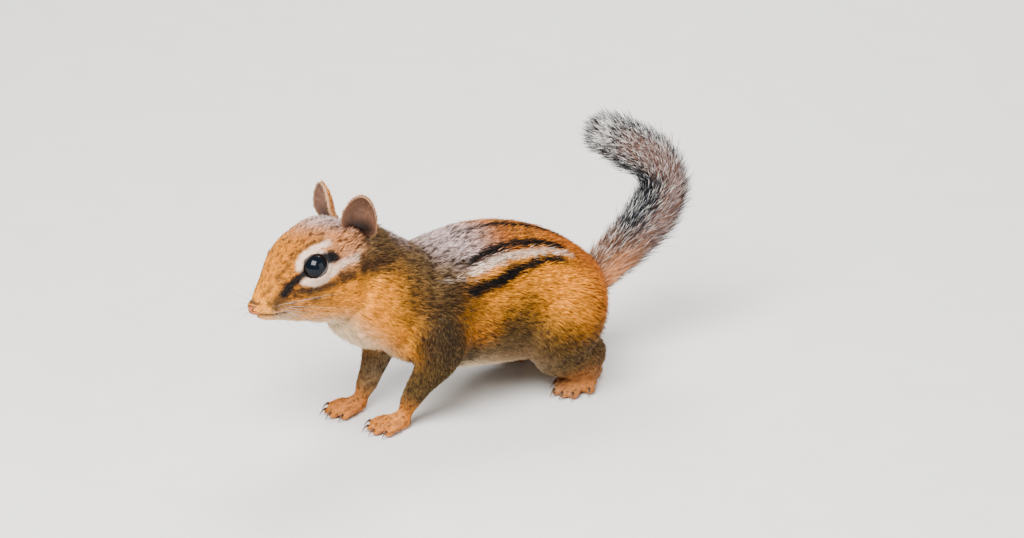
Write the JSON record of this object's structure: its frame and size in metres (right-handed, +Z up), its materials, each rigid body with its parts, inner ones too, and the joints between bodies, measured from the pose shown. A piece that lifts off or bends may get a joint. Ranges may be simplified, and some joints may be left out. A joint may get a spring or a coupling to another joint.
{
  "type": "chipmunk",
  "caption": "Life-size still chipmunk standing alert on four feet, with striped back, upright ears and a bushy tail curled up over the rump.",
  "frame": {"origin": "centre of the bounding box's underside, on the level the feet stand on", "axes": "+Z up, -Y the way the animal faces, +X its left side"},
  "size_m": [0.053, 0.1536, 0.079],
  "materials": {
    "russet_coat": "short dense fur",
    "ticked_coat": "short ticked fur with stripes",
    "tawny_coat": "short dense fur",
    "tail_coat": "long bushy fur",
    "foot_skin": "thin fur over bare pads",
    "ear_skin": "thin skin with fine down",
    "claw_horn": "satin horn",
    "eye_gloss": "wet gloss"
  },
  "bodies": {
    "root": {"head": "russet_coat", "neck": "ticked_coat", "torso": "ticked_coat", "eye_left": "eye_gloss", "ear_left": "ear_skin", "foreleg_left": "ticked_coat", "hindleg_left": "tawny_coat", "forefoot_left": "foot_skin", "hindfoot_left": "foot_skin", "eye_right": "eye_gloss", "ear_right": "ear_skin", "foreleg_right": "ticked_coat", "hindleg_right": "tawny_coat", "forefoot_right": "foot_skin", "hindfoot_right": "foot_skin", "claw_fore_left_1": "claw_horn", "claw_fore_left_2": "claw_horn", "claw_fore_left_3": "claw_horn", "claw_fore_left_4": "claw_horn", "claw_fore_right_1": "claw_horn", "claw_fore_right_2": "claw_horn", "claw_fore_right_3": "claw_horn", "claw_fore_right_4": "claw_horn", "claw_hind_left_1": "claw_horn", "claw_hind_left_2": "claw_horn", "claw_hind_left_3": "claw_horn", "claw_hind_left_4": "claw_horn", "claw_hind_left_5": "claw_horn", "claw_hind_right_1": "claw_horn", "claw_hind_right_2": "claw_horn", "claw_hind_right_3": "claw_horn", "claw_hind_right_4": "claw_horn", "claw_hind_right_5": "claw_horn", "tail_base": "tail_coat", "tail_middle": "tail_coat", "tail_tip": "tail_coat"}
  },
  "joints": []
}
